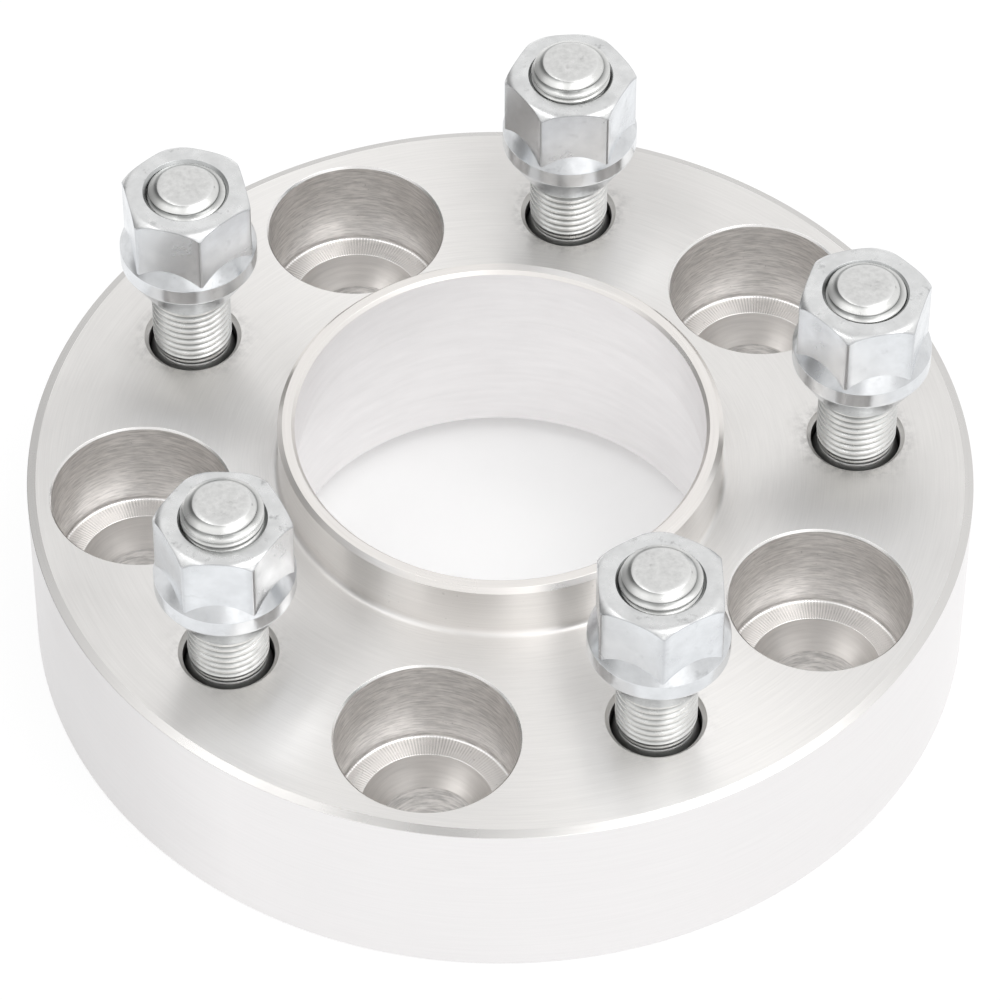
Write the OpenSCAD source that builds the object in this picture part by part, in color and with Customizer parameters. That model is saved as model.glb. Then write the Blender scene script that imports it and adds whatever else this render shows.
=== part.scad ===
// Bolt-on hub-centric wheel spacer: a turned aluminium ring with a pilot lip, five stepped
// pockets that take the vehicle's lug nuts, and five press-in studs with bulge-seat lug nuts.
// The hub face lies on z = 0, the wheel face and the lip point up +Z, and the axis is Z.

/* [Ring] */
// Outside diameter of the ring
ring_d = 150.4; // [148:0.2:170]
// Thickness from the hub face to the wheel face
ring_t = 31.75; // [30:0.25:45]
// Width of the shallow edge break round the wheel face
rim_break = 1.4; // [0.2:0.1:1.6]
// Height of that edge break
rim_drop = 0.5; // [0.2:0.1:1.5]
// Edge break round the hub face
back_break = 0.2; // [0.2:0.1:1.5]

/* [Hub bore and lip] */
// Hub pilot diameter, the size of both the hub bore and the lip
hub_d = 70.5; // [64:0.1:76]
// Lead-in chamfer of the hub bore at the hub face
bore_lead = 4.1; // [1:0.1:5]
// Height of the ledge between the hub bore's end and the wheel face
ledge_t = 1.6; // [1:0.1:6]
// Height of the lip above the wheel face
lip_h = 10.2; // [6:0.1:14]
// Wall thickness of the lip
lip_wall = 2.75; // [2:0.05:5]
// Chamfer on the lip's outer edge
lip_chamfer = 0.75; // [0.2:0.05:0.9]
// Chamfer on the lip's inner edge
lip_bore_chamfer = 0.55; // [0.2:0.05:0.9]
// Fillet radius where the lip rises from the wheel face
lip_fillet = 1.0; // [0.3:0.1:2]

/* [Lug pockets] */
// Pitch circle of the lug holes that fit the vehicle's studs
hub_pcd = 114.3; // [112:0.1:116]
// Diameter of the socket pocket
pocket_d = 28.6; // [25:0.1:30]
// Depth of the pocket below the wheel face
pocket_depth = 16.9; // [8:0.1:19]
// Edge break at the pocket's mouth
pocket_break = 0.3; // [0.1:0.1:1]
// Corner radius at the pocket's floor
pocket_corner = 0.6; // [0.2:0.1:1.5]
// Diameter of the nut seat's mouth in the pocket floor
seat_d = 21; // [19:0.1:22]
// Full angle of the conical nut seats
seat_angle = 60; // [55:1:90]
// Diameter of the through hole
lug_hole_d = 15.5; // [13:0.1:17]
// Edge break of the through hole at the hub face
lug_hole_break = 0.5; // [0.1:0.1:1]

/* [Wheel studs] */
// Pitch circle of the studs that carry the wheel
wheel_pcd = 114.3; // [112:0.1:116]
// Thread diameter of the studs
stud_d = 12.7; // [11:0.1:13.5]
// Height of the stud tips above the wheel face
stud_reach = 34.8; // [28:0.1:50]
// Height above the wheel face where the thread runs out
thread_start = 1.2; // [0.5:0.1:5]
// Diameter of the plain shank under the thread
shank_d = 12.2; // [10:0.1:12.6]
// Diameter of the flat at the stud's tip
tip_d = 8.4; // [6:0.1:9.5]
// Length of the cone behind the stud's tip
tip_l = 1.8; // [1:0.1:3]
// Diameter of the press-fit knurl
knurl_d = 14.3; // [13.8:0.1:16]
// Length of the knurl above the head
knurl_l = 9.5; // [6:0.1:14]
// Gap left each side between the knurl and its hole
knurl_gap = 0.02; // [0.01:0.01:0.1]
// Chamfer of the stud hole at the wheel face
stud_hole_chamfer = 0.7; // [0.2:0.1:1.5]
// Diameter of the stud head
head_d = 19.6; // [18:0.1:21]
// Thickness of the stud head
head_t = 3.6; // [2.5:0.1:5]
// Edge break round the stud head
head_break = 0.5; // [0.1:0.1:1]
// How far the stud head lies below the hub face
head_sink = 0.4; // [0.1:0.1:2]
// Gap each side between the stud head and its recess
head_gap = 0.4; // [0.2:0.1:1]

/* [Lug nuts] */
// Width of the hexagon across its flats
nut_af = 18.7; // [17:0.05:21]
// Height from the underside of the flange to the nut's top
nut_top = 14.75; // [12:0.05:20]
// Radius of the rounded shoulder at the top of the hexagon
nut_shoulder = 2.3; // [1.5:0.1:3]
// How far the round flange stands beyond the hexagon's corners
flange_step = 0.15; // [0.1:0.05:1]
// Height of the straight band on the flange
flange_h = 2.8; // [1:0.1:4]
// Height of the flare from the flange up to the hexagon's flats
flare_h = 2.5; // [1:0.1:4]
// Diameter of the nut's small end
nut_nose_d = 14.8; // [14.4:0.1:16]
// Diameter of the countersink in the nut's top
nut_sink_d = 13.7; // [13.6:0.1:15]
// Diameter of the countersink in the nut's small end
nose_sink_d = 13.8; // [13.4:0.1:14.2]
// Gap each side between the nut's bore and the stud
thread_gap = 0.06; // [0.02:0.01:0.1]
// Height of each nut's small end above the wheel face
nut_lift = [11.4, 12.3, 10.85, 12.65, 10.3]; // [5:0.05:20]
// Turn of each nut's hexagon on its stud
nut_turn = [43, 24, 15, 55, 8]; // [0:1:60]

/* [Hidden] */
$fn = 96;

aluminium = "#d3d1cd";
zinc = "#c3c8cd";

// Overshoot of cutting shapes past the faces they open
cut = 1;

lug_count = 5;
lug_step = 360 / lug_count;
first_pocket = -90;
first_stud = first_pocket + lug_step / 2;

ring_r = ring_d / 2;
hub_r = hub_d / 2;
lip_bore_r = hub_r - lip_wall;
ledge_z = ring_t - ledge_t;
lip_z = ring_t + lip_h;

pocket_r = pocket_d / 2;
pocket_z = ring_t - pocket_depth;
seat_r = seat_d / 2;
lug_hole_r = lug_hole_d / 2;
seat_h = (seat_r - lug_hole_r) / tan(seat_angle / 2);

stud_r = stud_d / 2;
shank_r = shank_d / 2;
knurl_r = knurl_d / 2;
head_r = head_d / 2;
stud_hole_r = knurl_r + knurl_gap;
recess_r = head_r + head_gap;
head_z = head_sink;
shoulder_z = head_z + head_t;
knurl_z = shoulder_z + knurl_l;
thread_z = ring_t + thread_start;
tip_z = ring_t + stud_reach;

hex_corner_r = nut_af / 2 / cos(30);
flange_r = hex_corner_r + flange_step;
nose_r = nut_nose_d / 2;
nose_h = (flange_r - nose_r) / tan(seat_angle / 2);
nut_bore_r = stud_r + thread_gap;
nut_sink_r = nut_sink_d / 2;
nose_sink_r = nose_sink_d / 2;
shoulder_r = flange_r - nut_shoulder;

// Places a child at one of the lug positions of a pitch circle
module at_lug(index, pcd, first_angle) {
    rotate(first_angle + lug_step * index) translate([pcd / 2, 0, 0]) children();
}

// Half section of the turned ring with its stepped bore and lip, before the lug holes
module ring_section() {
    polygon([
        [hub_r + bore_lead, 0],
        [ring_r - back_break, 0],
        [ring_r, back_break],
        [ring_r, ring_t - rim_drop],
        [ring_r - rim_break, ring_t],
        [hub_r, ring_t],
        [hub_r, lip_z - lip_chamfer],
        [hub_r - lip_chamfer, lip_z],
        [lip_bore_r + lip_bore_chamfer, lip_z],
        [lip_bore_r, lip_z - lip_bore_chamfer],
        [lip_bore_r, ledge_z],
        [hub_r, ledge_z],
        [hub_r, bore_lead]
    ]);
    // Fillet at the lip's root
    translate([hub_r, ring_t]) difference() {
        square(lip_fillet);
        translate([lip_fillet, lip_fillet]) circle(lip_fillet);
    }
}

// Stepped passage for one of the vehicle's studs: pocket, conical nut seat and through hole
module lug_passage() {
    rotate_extrude() {
        polygon([
            [0, -cut],
            [lug_hole_r + lug_hole_break + cut, -cut],
            [lug_hole_r, lug_hole_break],
            [lug_hole_r, pocket_z - seat_h],
            [seat_r, pocket_z],
            [pocket_r - pocket_corner, pocket_z],
            [pocket_r, pocket_z + pocket_corner],
            [pocket_r, ring_t - pocket_break],
            [pocket_r + pocket_break + cut, ring_t + cut],
            [0, ring_t + cut]
        ]);
        translate([pocket_r - pocket_corner, pocket_z + pocket_corner]) circle(pocket_corner);
    }
}

// Press-fit hole for a wheel stud with the head's recess in the hub face
module stud_passage() {
    rotate_extrude() polygon([
        [0, -cut],
        [recess_r, -cut],
        [recess_r, shoulder_z],
        [stud_hole_r, shoulder_z],
        [stud_hole_r, ring_t - stud_hole_chamfer],
        [stud_hole_r + stud_hole_chamfer + cut, ring_t + cut],
        [0, ring_t + cut]
    ]);
}

module spacer_body() {
    color(aluminium) difference() {
        rotate_extrude() ring_section();
        for (i = [0 : lug_count - 1]) {
            at_lug(i, hub_pcd, first_pocket) lug_passage();
            at_lug(i, wheel_pcd, first_stud) stud_passage();
        }
    }
}

// One wheel stud: recessed head, press-fit knurl, plain shank, thread and coned tip
module wheel_stud(number) {
    color(zinc) at_lug(number - 1, wheel_pcd, first_stud) rotate_extrude() polygon([
        [0, head_z],
        [head_r - head_break, head_z],
        [head_r, head_z + head_break],
        [head_r, shoulder_z],
        [knurl_r, shoulder_z],
        [knurl_r, knurl_z - (knurl_r - shank_r)],
        [shank_r, knurl_z],
        [shank_r, thread_z - (stud_r - shank_r)],
        [stud_r, thread_z],
        [stud_r, tip_z - tip_l],
        [tip_d / 2, tip_z],
        [0, tip_z]
    ]);
}

// Hexagon of a lug nut with its rounded top shoulder, on the flange's underside at z = 0
module nut_hexagon() {
    intersection() {
        cylinder(r = hex_corner_r, h = nut_top, $fn = 6);
        rotate_extrude() {
            square([shoulder_r, nut_top]);
            square([flange_r, nut_top - nut_shoulder]);
            translate([shoulder_r, nut_top - nut_shoulder]) intersection() {
                circle(nut_shoulder);
                square(nut_shoulder);
            }
        }
    }
}

// Turned lower half of a lug nut: conical seat, flange band and flare into the hexagon
module nut_flange() {
    flat_r = nut_af / 2;
    flare_slope = (flange_r - flat_r) / flare_h;
    inner_h = flare_h + cut;
    rotate_extrude() polygon([
        [0, -nose_h],
        [nose_r, -nose_h],
        [flange_r, 0],
        [flange_r, flange_h],
        [flange_r - flare_slope * inner_h, flange_h + inner_h],
        [0, flange_h + inner_h]
    ]);
}

// Bore of a lug nut with a countersink at each end
module nut_bore() {
    rotate_extrude() polygon([
        [0, -nose_h - cut],
        [nose_sink_r + cut, -nose_h - cut],
        [nut_bore_r, -nose_h + nose_sink_r - nut_bore_r],
        [nut_bore_r, nut_top - (nut_sink_r - nut_bore_r)],
        [nut_sink_r + cut, nut_top + cut],
        [0, nut_top + cut]
    ]);
}

// One open-ended bulge nut, run part of the way down its stud
module lug_nut(number) {
    index = number - 1;
    flange_z = ring_t + nut_lift[index] + nose_h;
    color(zinc) at_lug(index, wheel_pcd, first_stud) translate([0, 0, flange_z])
        rotate(nut_turn[index] - first_stud - lug_step * index) difference() {
            union() {
                nut_hexagon();
                nut_flange();
            }
            nut_bore();
        }
}

spacer_body();
for (number = [1 : lug_count]) {
    wheel_stud(number);
    lug_nut(number);
}
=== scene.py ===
"""Looks of a bolt-on wheel spacer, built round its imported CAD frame.

A turned aluminium ring with a pilot lip and stepped lug pockets carries five wheel studs and their bulge
nuts. Sizes are in millimetres in the CAD frame: the hub face lies on z = 0 and the wheel side points up.
"""
import logging
import math
from dataclasses import dataclass
from enum import IntEnum
from typing import Optional, Sequence, Union

import bmesh
import bpy
import numpy as np
from mathutils import Matrix, Vector


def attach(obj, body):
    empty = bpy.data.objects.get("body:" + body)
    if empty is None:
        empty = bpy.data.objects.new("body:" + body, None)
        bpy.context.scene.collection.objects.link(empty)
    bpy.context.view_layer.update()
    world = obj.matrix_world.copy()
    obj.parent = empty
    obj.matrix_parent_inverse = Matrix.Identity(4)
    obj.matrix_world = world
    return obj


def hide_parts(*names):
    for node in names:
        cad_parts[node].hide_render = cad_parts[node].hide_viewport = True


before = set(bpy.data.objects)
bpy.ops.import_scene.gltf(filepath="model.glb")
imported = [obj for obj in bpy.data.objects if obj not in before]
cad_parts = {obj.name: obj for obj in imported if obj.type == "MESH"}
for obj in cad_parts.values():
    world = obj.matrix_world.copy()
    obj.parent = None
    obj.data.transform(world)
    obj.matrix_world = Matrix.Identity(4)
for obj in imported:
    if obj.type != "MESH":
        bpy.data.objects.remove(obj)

LOG = logging.getLogger("wheel_spacer")
MM = 0.001
FULL_TURN = 2.0 * math.pi

# The lug circle, which the ring, the studs and the nuts share
LUGS = 5
LUG_STEP = 360.0 / LUGS
FIRST_POCKET = -90.0
FIRST_STUD = FIRST_POCKET + LUG_STEP / 2.0
PITCH_R = 57.15
WHEEL_FACE = 31.75

# How far each nut stands above the wheel face, and how far it is turned in degrees
NUT_LIFT = (11.4, 12.3, 10.85, 12.65, 10.3)
NUT_TURN = (43.0, 24.0, 15.0, 55.0, 8.0)

# A nut's hexagon, in radians
HEX_SIDES = 6
HEX_STEP = FULL_TURN / HEX_SIDES
HEX_HALF = HEX_STEP / 2.0

# How a mesh's layers are named, and how it is welded and shaded
TURN_MAP = "turn"
# One mesh layer holds real wear and stains, and also painted shade in thread roots, stud necks and nut
# bores
WEAR_AND_SHADE = "worn"
WELD = 0.002
SHARP_DEG = 32.0

# Distance of a guard point, the least run and arc that get points of their own, and points to a stub
GUARD = 0.05
LEAST_RUN = 4.0 * GUARD
LEAST_ARC = 1e-6
STUB_POINTS = 3

# Angle from +X to the camera's right, in degrees
CAMERA_SWING = 11.086

Floats = np.ndarray
Pair = tuple[float, float]
Colour = tuple[float, float, float]
Socket = bpy.types.NodeSocket
Number = Union[float, Socket]
Material = bpy.types.Material


class RingZone(IntEnum):
    """Finishes of the ring, in the order of its material slots."""

    FACE = 0
    RIM = 1
    LIP = 2
    LIP_TOP = 3
    BORE = 4
    POCKET = 5
    POCKET_FLOOR = 6
    SEAT = 7
    DRILLED = 8
    STUD_HOLE = 9
    EDGE = 10
    RIM_EDGE = 11


class StudZone(IntEnum):
    """Finishes of a wheel stud, in the order of its material slots."""

    THREAD = 0
    TIP = 1
    SHANK = 2


class NutZone(IntEnum):
    """Finishes of a lug nut, in the order of its material slots."""

    HEXAGON = 0
    TOP = 1
    FLANGE = 2
    FLARE = 3
    INSIDE = 4


def unit(vector: Floats) -> Floats:
    """The vector at length one."""
    return vector / np.linalg.norm(vector)


def rounded(corners: Sequence[Pair], radii: Sequence[float], steps: int = 4) -> tuple[Floats, Floats]:
    """Turns the inner corners of a polyline into arcs.

    An arc of radius q at a corner that turns by w starts q * tan(w / 2) before the corner and ends as far
    after it. A guard point at each end of a straight run keeps its shading flat next to its arcs.

    Args:
        corners: The polyline's points, each (radius, height).
        radii: The arc radius at each inner corner.
        steps: Intervals in each arc.

    Returns:
        The new points (n x 2), and for each of the n - 1 intervals the index of its straight run.
    """
    points = np.asarray(corners, float)
    line, runs = [points[0]], []

    def straight(end: Floats, run: int) -> None:
        """Adds a straight run with its guard points.

        Args:
            end: Where the run ends.
            run: The run's index.
        """
        start = line[-1]
        span = float(np.linalg.norm(end - start))
        if span > LEAST_RUN:
            ahead = (end - start) / span * GUARD
            line.extend([start + ahead, end - ahead])
            runs.extend([run, run])
        line.append(end)
        runs.append(run)

    for k in range(1, len(points) - 1):
        before, after = unit(points[k] - points[k - 1]), unit(points[k + 1] - points[k])
        sweep = math.atan2(before[0] * after[1] - before[1] * after[0], float(before @ after))
        reach = radii[k - 1] * math.tan(abs(sweep) / 2.0)
        straight(points[k] - before * reach, k - 1)
        if reach < LEAST_ARC:
            continue
        centre = points[k] + unit(after - before) * radii[k - 1] / math.cos(sweep / 2.0)
        arm = line[-1] - centre
        turned = np.linspace(0.0, sweep, steps + 1)[1:]
        arc = np.stack([arm[0] * np.cos(turned) - arm[1] * np.sin(turned),
                        arm[0] * np.sin(turned) + arm[1] * np.cos(turned)], axis=1) + centre
        line.extend(arc)
        runs.extend([k - 1] * (steps // 2) + [k] * (steps - steps // 2))
    straight(points[-1], len(points) - 2)
    return np.array(line), np.array(runs, int)


def run_length(points: Floats) -> Floats:
    """Distance along a polyline (n x 2) at each of its points."""
    return np.concatenate([[0.0], np.cumsum(np.linalg.norm(np.diff(points, axis=0), axis=1))])


def around(r: Floats, z: Floats, bearings: Floats, centre: Pair = (0.0, 0.0)) -> Floats:
    """Points about an upright axis: (cx + r cos a, cy + r sin a, z).

    Args:
        r: Radii, rows by columns or rows by 1.
        z: Heights, likewise.
        bearings: The angles a of the columns, in radians.
        centre: Where the axis stands.

    Returns:
        A grid of points, rows by columns by 3.
    """
    return np.stack([centre[0] + r * np.cos(bearings), centre[1] + r * np.sin(bearings),
                     z + np.zeros_like(bearings)], axis=-1)


def revolve(profile: Floats, bearings: Floats, centre: Pair = (0.0, 0.0)) -> Floats:
    """The grid of a profile (n x 2, radius and height) carried round an upright axis."""
    return around(profile[:, :1], profile[:, 1:], bearings, centre)


def turn_uv(along: Floats, bearings: Floats) -> Floats:
    """Texture coordinates of a revolved grid: the distance across the tool marks, and turns along them.

    Args:
        along: The distance at each row, or at each point.
        bearings: The angles of the columns, in radians.

    Returns:
        A grid of coordinates, rows by columns by 2.
    """
    across = along.reshape(len(along), -1) + np.zeros_like(bearings)
    return np.stack([across, np.broadcast_to(bearings / FULL_TURN, across.shape)], axis=-1)


def spun(points: Floats, degrees: float) -> Floats:
    """Turns points about the upright axis through the origin.

    Args:
        points: Any array of points, by 3.
        degrees: The angle, anticlockwise from above.

    Returns:
        The turned points, in an array of the same shape.
    """
    c, s = math.cos(math.radians(degrees)), math.sin(math.radians(degrees))
    x, y = points[..., 0], points[..., 1]
    return np.stack([x * c - y * s, x * s + y * c, points[..., 2]], axis=-1)


def stud_axis(number: int) -> Pair:
    """Where the axis of a stud and its nut stands, for a number counted from 1."""
    heading = math.radians(FIRST_STUD + LUG_STEP * (number - 1))
    return PITCH_R * math.cos(heading), PITCH_R * math.sin(heading)


def toward(azimuth: float, elevation: float) -> Vector:
    """The direction of a bearing in degrees, counted from the camera's right, in the CAD frame."""
    a, e = math.radians(azimuth + CAMERA_SWING), math.radians(elevation)
    return Vector((math.cos(a) * math.cos(e), math.sin(a) * math.cos(e), math.sin(e)))


class Skin:
    """Gathers grids of points and welds them into the closed mesh of one piece."""

    def __init__(self, name: str) -> None:
        """Starts an empty skin.

        Args:
            name: The piece's name.
        """
        self.name = name
        self.points: list[Floats] = []
        self.uvs: list[Floats] = []
        self.worn: list[Floats] = []
        self.quads: list[Floats] = []
        self.zones: list[Floats] = []
        self.count = 0

    def add(self, points: Floats, uv: Floats, zone: Union[int, Floats],
            worn: Optional[Floats] = None) -> None:
        """Adds a grid, whose faces look along (next column) x (next row).

        Args:
            points: Rows by columns by 3, in millimetres.
            uv: Rows by columns by 2.
            zone: The finish, or one for each interval between rows.
            worn: Wear, stains and painted shade from 0 to 1, at each row or at each point.
        """
        rows, columns = points.shape[:2]
        index = np.arange(rows * columns).reshape(rows, columns) + self.count
        quads = np.stack([index[:-1, :-1], index[:-1, 1:], index[1:, 1:], index[1:, :-1]], axis=-1)
        zones = np.broadcast_to(np.asarray(zone, int).reshape(-1, 1), (rows - 1, columns - 1))
        wear = np.zeros(rows) if worn is None else worn
        self.points.append(points.reshape(-1, 3))
        self.uvs.append(uv.reshape(-1, 2))
        self.worn.append(np.broadcast_to(wear.reshape(rows, -1), (rows, columns)).reshape(-1))
        self.quads.append(quads.reshape(-1, 4))
        self.zones.append(zones.reshape(-1))
        self.count += rows * columns

    def add_turned(self, profile: Floats, bearings: Floats, zone: Union[int, Floats],
                   centre: Pair = (0.0, 0.0), worn: Optional[Floats] = None) -> None:
        """Adds a profile carried round an upright axis.

        Args:
            profile: Points (n x 2) of radius and height.
            bearings: The angles of the columns, in radians.
            zone: The finish, or one for each interval of the profile.
            centre: Where the axis stands.
            worn: Wear, stains and painted shade from 0 to 1 at each point of the profile.
        """
        self.add(revolve(profile, bearings, centre), turn_uv(run_length(profile), bearings), zone, worn)

    def build(self, materials: Sequence[Material]) -> bpy.types.Object:
        """Makes the object, with its finishes in the order of the zones.

        Args:
            materials: One material for each zone.

        Returns:
            The new object, which sits at the origin.
        """
        points, quads = np.concatenate(self.points) * MM, np.concatenate(self.quads)
        mesh = bpy.data.meshes.new(self.name)
        mesh.vertices.add(len(points))
        mesh.vertices.foreach_set("co", points.astype(np.float32).ravel())
        mesh.loops.add(quads.size)
        mesh.loops.foreach_set("vertex_index", quads.astype(np.int32).ravel())
        mesh.polygons.add(len(quads))
        mesh.polygons.foreach_set("loop_start", np.arange(0, quads.size, 4, dtype=np.int32))
        mesh.polygons.foreach_set("material_index", np.concatenate(self.zones).astype(np.int32))
        mesh.update(calc_edges=True)
        layer = mesh.uv_layers.new(name=TURN_MAP)
        layer.data.foreach_set("uv", np.concatenate(self.uvs)[quads].astype(np.float32).ravel())
        worn = mesh.attributes.new(WEAR_AND_SHADE, "FLOAT", "POINT")
        worn.data.foreach_set("value", np.concatenate(self.worn).astype(np.float32))
        welded = bmesh.new()
        welded.from_mesh(mesh)
        bmesh.ops.remove_doubles(welded, verts=welded.verts, dist=WELD * MM)
        welded.to_mesh(mesh)
        welded.free()
        mesh.polygons.foreach_set("use_smooth", np.ones(len(mesh.polygons), bool))
        mesh.set_sharp_from_angle(angle=math.radians(SHARP_DEG))
        for material in materials:
            mesh.materials.append(material)
        piece = bpy.data.objects.new(self.name, mesh)
        bpy.context.scene.collection.objects.link(piece)
        return piece


@dataclass(frozen=True)
class Speckle:
    """A noise pattern: its scale, its octaves, their roughness, and the range of it that is put to use."""

    scale: float
    detail: float
    rough: float
    span: Pair = (0.3, 0.7)


MARK_LINES = Speckle(1.0, 4.0, 0.62)
CHATTER_PATCHES = Speckle(3.5, 2.0, 0.55, (0.4, 0.6))
PITS = Speckle(1300.0, 1.0, 0.5, (0.74, 0.78))
STAINS = Speckle(650.0, 5.0, 0.65, (0.42, 0.62))
CLOUDS = Speckle(55.0, 2.0, 0.55)
SMUDGES = Speckle(420.0, 4.0, 0.65, (0.60, 0.72))
DENTS = Speckle(190.0, 1.0, 0.5)
NOISE_MIDDLE = 0.5


class NodeSketch:
    """A node tree, written as plain expressions."""

    def __init__(self, tree: bpy.types.NodeTree) -> None:
        """Empties the tree and takes it over."""
        self.tree = tree
        tree.nodes.clear()

    def node(self, kind: str) -> bpy.types.Node:
        """A new node of that kind."""
        return self.tree.nodes.new(kind)

    def put(self, socket: Socket, value: object) -> None:
        """Links a socket, or sets it where the value is a constant.

        Args:
            socket: The input.
            value: The output that feeds it, or a constant.
        """
        if isinstance(value, bpy.types.NodeSocket):
            self.tree.links.new(value, socket)
        else:
            socket.default_value = value

    def math(self, operation: str, first: Number, second: Number = 0.0) -> Socket:
        """One arithmetic step.

        Args:
            operation: The Math node's operation.
            first: Its first value.
            second: Its second value, where it takes one.

        Returns:
            The result.
        """
        node = self.node("ShaderNodeMath")
        node.operation = operation
        self.put(node.inputs[0], first)
        self.put(node.inputs[1], second)
        return node.outputs[0]

    def vector_math(self, operation: str, first: Socket, second: Optional[Vector] = None) -> Socket:
        """One step from vectors to a number.

        Args:
            operation: The Vector Math node's operation.
            first: Its first vector.
            second: Its second vector, where it takes one.

        Returns:
            The result.
        """
        node = self.node("ShaderNodeVectorMath")
        node.operation = operation
        self.put(node.inputs[0], first)
        if second is not None:
            self.put(node.inputs[1], second)
        return node.outputs["Value"]

    def mapped(self, value: Socket, span: Pair, ends: Pair, smooth: bool = False) -> Socket:
        """Carries a value from one range to another, and holds it at the ends.

        Args:
            value: What is carried.
            span: The range that it comes from.
            ends: What the two ends of that range become.
            smooth: Whether it eases in and out.

        Returns:
            The value in its new range.
        """
        node = self.node("ShaderNodeMapRange")
        if smooth:
            node.interpolation_type = "SMOOTHSTEP"
        self.put(node.inputs[0], value)
        for socket, number in zip(node.inputs[1:5], (*span, *ends)):
            socket.default_value = number
        return node.outputs[0]


class SurfaceSketch(NodeSketch):
    """A material with a Principled shader, written as plain expressions."""

    def __init__(self, name: str) -> None:
        """Starts the material.

        Args:
            name: The material's name.
        """
        self.material = bpy.data.materials.new(name)
        self.material.use_nodes = True
        super().__init__(self.material.node_tree)
        self.shader = self.node("ShaderNodeBsdfPrincipled")
        output = self.node("ShaderNodeOutputMaterial")
        self.put(output.inputs["Surface"], self.shader.outputs[0])

    def vector(self, x: Number, y: Number, z: Number) -> Socket:
        """A vector of three values.

        Args:
            x: Its first value.
            y: Its second value.
            z: Its third value.

        Returns:
            The vector.
        """
        node = self.node("ShaderNodeCombineXYZ")
        for socket, value in zip(node.inputs, (x, y, z)):
            self.put(socket, value)
        return node.outputs[0]

    def turn(self) -> tuple[Socket, Socket]:
        """Reads the texture coordinates of a revolved grid.

        Returns:
            Distance across the tool marks in millimetres, and the angle along them in radians.
        """
        chart = self.node("ShaderNodeUVMap")
        chart.uv_map = TURN_MAP
        parts = self.node("ShaderNodeSeparateXYZ")
        self.put(parts.inputs[0], chart.outputs[0])
        return parts.outputs[0], self.math("MULTIPLY", parts.outputs[1], FULL_TURN)

    def facing(self, angle: Socket, degrees: float) -> Socket:
        """How far an angle faces a bearing: the cosine of the angle between them."""
        return self.math("COSINE", self.math("SUBTRACT", angle, math.radians(degrees)))

    def place(self) -> Socket:
        """The point on the object, in metres."""
        return self.node("ShaderNodeTexCoord").outputs["Object"]

    def wear(self) -> Socket:
        """The wear, stains and painted shade stored on the mesh.

        Returns:
            A value from 0 to 1.
        """
        node = self.node("ShaderNodeAttribute")
        node.attribute_name = WEAR_AND_SHADE
        return node.outputs["Fac"]

    def noise(self, pattern: Speckle, where: Optional[Socket] = None) -> Socket:
        """Smooth noise about one half.

        Args:
            pattern: Its scale, octaves and roughness.
            where: What it is read at, or else the point on the object.

        Returns:
            The noise.
        """
        node = self.node("ShaderNodeTexNoise")
        self.put(node.inputs["Vector"], where or self.place())
        node.inputs["Scale"].default_value = pattern.scale
        node.inputs["Detail"].default_value = pattern.detail
        node.inputs["Roughness"].default_value = pattern.rough
        return node.outputs[0]

    def speckled(self, pattern: Speckle, strength: float) -> Socket:
        """Patches of noise on the object, from 0 to a strength over the pattern's range."""
        return self.mapped(self.noise(pattern), pattern.span, (0.0, strength))

    def shade(self, share: Socket, low: Union[Colour, Socket], high: Colour) -> Socket:
        """A colour between two colours.

        Args:
            share: How far it is from the first to the second.
            low: The first colour, a constant or an output.
            high: The second colour.

        Returns:
            The colour.
        """
        node = self.node("ShaderNodeMix")
        node.data_type = "RGBA"
        self.put(node.inputs[0], share)
        self.put(node.inputs[6], low if isinstance(low, bpy.types.NodeSocket) else (*low, 1.0))
        self.put(node.inputs[7], (*high, 1.0))
        return node.outputs[2]

    def metal(self, colour: Socket, roughness: Socket) -> None:
        """Makes the shader a metal.

        Args:
            colour: Its colour.
            roughness: Its roughness.
        """
        self.put(self.shader.inputs["Base Color"], colour)
        self.put(self.shader.inputs["Roughness"], roughness)
        self.shader.inputs["Metallic"].default_value = 1.0

    def bump(self, height: Socket, depth: float = 1.0) -> None:
        """Raises the surface by the height times the depth.

        Args:
            height: The height at each point.
            depth: What a height of 1 stands for, in millimetres.
        """
        node = self.node("ShaderNodeBump")
        node.inputs["Strength"].default_value = 1.0
        node.inputs["Distance"].default_value = depth * MM
        self.put(node.inputs["Height"], height)
        self.put(self.shader.inputs["Normal"], node.outputs[0])

    def stretch(self, anisotropy: float) -> None:
        """Stretches reflections across the tool marks.

        Args:
            anisotropy: How far, from 0 to 1.
        """
        node = self.node("ShaderNodeTangent")
        node.direction_type = "UV_MAP"
        node.uv_map = TURN_MAP
        self.put(self.shader.inputs["Tangent"], node.outputs[0])
        self.shader.inputs["Anisotropic"].default_value = anisotropy


@dataclass(frozen=True)
class ToolMarks:
    """Fine lines that a cutting tool leaves along its path.

    per_mm is how many marks lie side by side in a millimetre, run how often they change along a turn, tone
    the share by which they lighten and darken the metal, depth their height in millimetres, and spread the
    part of the noise's range over which the tone swings from dark to light.
    """

    per_mm: float
    run: float
    tone: float
    depth: float
    spread: float = 0.25

    def lines(self, sketch: SurfaceSketch, across: Socket, angle: Socket) -> Socket:
        """Noise at (run cos a, run sin a, across * per_mm), so that it is drawn out along the tool's path.

        Args:
            sketch: The material that is being built.
            across: Distance across the marks.
            angle: The angle a along the marks.

        Returns:
            The noise.
        """
        path = sketch.vector(sketch.math("MULTIPLY", sketch.math("COSINE", angle), self.run),
                             sketch.math("MULTIPLY", sketch.math("SINE", angle), self.run),
                             sketch.math("MULTIPLY", across, self.per_mm))
        return sketch.noise(MARK_LINES, path)


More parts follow.
